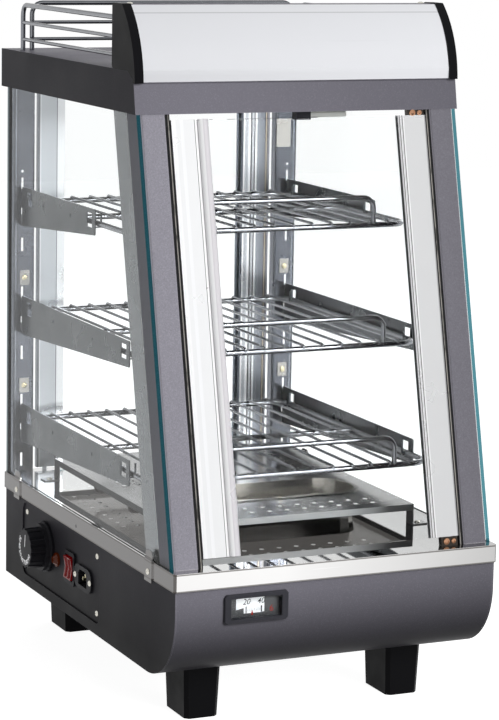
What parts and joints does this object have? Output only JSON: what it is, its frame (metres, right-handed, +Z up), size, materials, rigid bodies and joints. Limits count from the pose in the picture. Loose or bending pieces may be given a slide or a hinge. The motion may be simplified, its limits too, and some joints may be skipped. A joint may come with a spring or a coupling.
{
  "type": "heated display case",
  "caption": "Heated glass display case with a sloping front door, a rear door, wire shelves, a water pan, side controls and a rounded sign box on its roof.",
  "frame": {"origin": "on the floor under the middle of the whole case, with its knob and rear overhang", "axes": "+Z up, -Y out of the sloping glass front, +X to the right of someone facing the front"},
  "size_m": [0.3738, 0.5038, 0.7016],
  "materials": {
    "grey_paint": "metallic satin",
    "polished_steel": "polished",
    "post_steel": "satin",
    "liner_aluminium": "satin",
    "door_aluminium": "satin anodised",
    "chrome_wire": "plated",
    "clear_glass": "polished",
    "lamp_glass": "frosted",
    "black_plastic": "satin",
    "black_rubber": "matte",
    "amber_plastic": "gloss",
    "red_plastic": "gloss",
    "white_acrylic": "gloss",
    "white_paint": "satin",
    "element_steel": "heat darkened"
  },
  "bodies": {
    "case": {"base_wrap": "grey_paint", "left_side_panel": "grey_paint", "right_side_panel": "grey_paint", "control_plate": "grey_paint", "front_post_left": "grey_paint", "front_post_right": "grey_paint", "top_cover": "grey_paint", "front_fascia": "grey_paint", "floor_tray": "polished_steel", "platform": "polished_steel", "glass_clips": "polished_steel", "screws": "polished_steel", "rear_post_left": "post_steel", "rear_post_right": "post_steel", "post_plates": "post_steel", "ceiling_panel": "post_steel", "bracket_top_left": "post_steel", "bracket_top_right": "post_steel", "bracket_middle_left": "post_steel", "bracket_middle_right": "post_steel", "bracket_bottom_left": "post_steel", "bracket_bottom_right": "post_steel", "post_liners": "liner_aluminium", "guard_rail_left": "chrome_wire", "guard_rail_right": "chrome_wire", "guard_rail_rear": "chrome_wire", "side_glass_left": "clear_glass", "side_glass_right": "clear_glass", "thermometer_lens": "clear_glass", "lamp_tubes": "lamp_glass", "sign_cap_left": "black_plastic", "sign_cap_right": "black_plastic", "thermostat": "black_plastic", "switch_body": "black_plastic", "power_inlet": "black_plastic", "thermometer_housing": "black_plastic", "lamp_holders": "black_plastic", "front_pivot_blocks": "black_plastic", "foot_front_left": "black_rubber", "foot_front_right": "black_rubber", "foot_rear_left": "black_rubber", "foot_rear_right": "black_rubber", "front_door_gaskets": "black_rubber", "indicator_lamp": "amber_plastic", "sign_panel": "white_acrylic", "sign_back": "white_paint", "heating_element": "element_steel"},
    "front_door": {"front_door_glass": "clear_glass", "front_door_handle": "door_aluminium", "front_door_hinge_strip": "door_aluminium"},
    "rear_door": {"rear_door_glass": "clear_glass", "rear_door_handle": "door_aluminium", "rear_door_hinge_strip": "door_aluminium"},
    "thermostat_knob": {"thermostat_knob": "black_plastic"},
    "power_rocker": {"power_rocker": "red_plastic"},
    "thermometer_pointer": {"thermometer_pointer": "red_plastic"},
    "shelf_top": {"shelf_top": "chrome_wire"},
    "shelf_middle": {"shelf_middle": "chrome_wire"},
    "shelf_bottom": {"shelf_bottom": "chrome_wire"},
    "water_pan": {"water_pan": "polished_steel"}
  },
  "joints": [
    {"name": "front_door_hinge", "type": "hinge", "parent": "case", "child": "front_door", "pos_m": [0.1368, -0.19023, 0.36319], "axis": [0, 0.2252, 0.9743], "range_deg": [0, 100]},
    {"name": "rear_door_hinge", "type": "hinge", "parent": "case", "child": "rear_door", "pos_m": [-0.1192, 0.2339, 0.38], "axis": [0, 0, 1], "range_deg": [0, 100]},
    {"name": "thermostat_turn", "type": "hinge", "parent": "case", "child": "thermostat_knob", "pos_m": [-0.1712, 0.1129, 0.112], "axis": [1, 0, 0], "range_deg": [0, 280]},
    {"name": "rocker_tip", "type": "hinge", "parent": "case", "child": "power_rocker", "pos_m": [-0.1625, 0.0364, 0.107], "axis": [0, 1, 0], "range_deg": [-8, 8]},
    {"name": "pointer_swing", "type": "hinge", "parent": "case", "child": "thermometer_pointer", "pos_m": [-0.0832, -0.2451, 0.123], "axis": [0, 1, 0], "range_deg": [-40, 40]},
    {"name": "shelf_top_lift", "type": "slide", "parent": "case", "child": "shelf_top", "axis": [0, 0, 1], "range_m": [0, 0.025]},
    {"name": "shelf_middle_lift", "type": "slide", "parent": "case", "child": "shelf_middle", "axis": [0, 0, 1], "range_m": [0, 0.025]},
    {"name": "shelf_bottom_lift", "type": "slide", "parent": "case", "child": "shelf_bottom", "axis": [0, 0, 1], "range_m": [0, 0.025]},
    {"name": "water_pan_lift", "type": "slide", "parent": "case", "child": "water_pan", "axis": [0, 0, 1], "range_m": [0, 0.03]}
  ]
}
